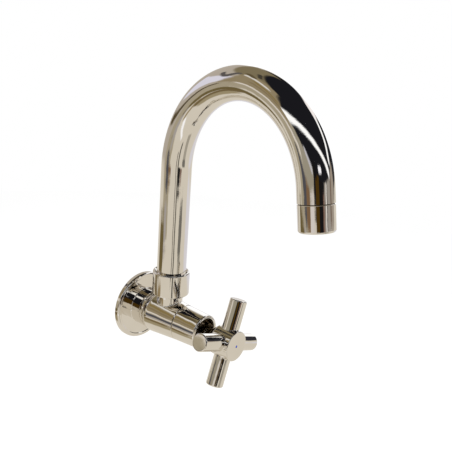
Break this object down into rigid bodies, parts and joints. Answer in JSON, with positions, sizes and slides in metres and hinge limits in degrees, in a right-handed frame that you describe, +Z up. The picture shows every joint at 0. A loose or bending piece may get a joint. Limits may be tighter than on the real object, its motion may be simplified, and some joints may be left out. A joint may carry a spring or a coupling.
{
  "type": "commercial wall faucet",
  "caption": "Wall-mounted single-supply faucet: swinging round gooseneck spout over a tapered body with a plain cross handle.",
  "frame": {"origin": "centre of the wall flange's back face, on the axis of the valve body", "axes": "+Z up along the spout's stem, +Y into the wall, so the faucet stands out of the wall towards -Y; +X to the right for someone facing the faucet"},
  "size_m": [0.0726, 0.2118, 0.2544],
  "materials": {
    "polished_plate": "mirror-polished plating on brass, slightly warm",
    "bare_brass": "machined brass, fine turning marks",
    "seal_rubber": "matt black nitrile rubber",
    "fibre_washer": "red-brown pressed fibre",
    "disc_ceramic": "lapped off-white alumina ceramic",
    "slip_plastic": "natural white acetal",
    "plain_steel": "plain stainless steel",
    "aerator_plastic": "light grey moulded acetal",
    "blue_index": "blue enamel dot"
  },
  "bodies": {
    "tap_body": {"valve_body": "polished_plate", "wall_flange": "polished_plate", "flange_o_ring": "seal_rubber", "inlet_nipple": "bare_brass", "inlet_washer": "fibre_washer", "bonnet_sleeve": "polished_plate", "cartridge_body": "bare_brass", "cartridge_body_o_ring": "seal_rubber", "cartridge_fixed_disc": "disc_ceramic", "cartridge_seat_seal": "seal_rubber", "spout_collar": "polished_plate", "collar_slip_ring": "slip_plastic"},
    "handle": {"cross_handle": "polished_plate", "handle_grub_screw": "plain_steel", "handle_index_dot": "blue_index", "cartridge_spindle": "bare_brass", "spindle_o_rings": "seal_rubber", "spindle_thrust_washer": "slip_plastic", "spindle_circlip": "plain_steel", "cartridge_moving_disc": "disc_ceramic"},
    "spout": {"spout_tube": "polished_plate", "spout_tail": "bare_brass", "spout_o_rings": "seal_rubber", "outlet_nipple": "bare_brass", "aerator_housing": "polished_plate", "aerator_washer": "seal_rubber", "aerator_strainer": "plain_steel", "aerator_insert": "aerator_plastic", "aerator_screen": "plain_steel"}
  },
  "joints": [
    {"name": "spout_swivel", "type": "hinge", "parent": "tap_body", "child": "spout", "pos_m": [0, -0.0369, 0.03], "axis": [0, 0, 1], "range_deg": [-86.5, 103.5]},
    {"name": "handle_turn", "type": "hinge", "parent": "tap_body", "child": "handle", "pos_m": [0, -0.06, 0], "axis": [0, -1, 0], "range_deg": [0, 90]}
  ]
}
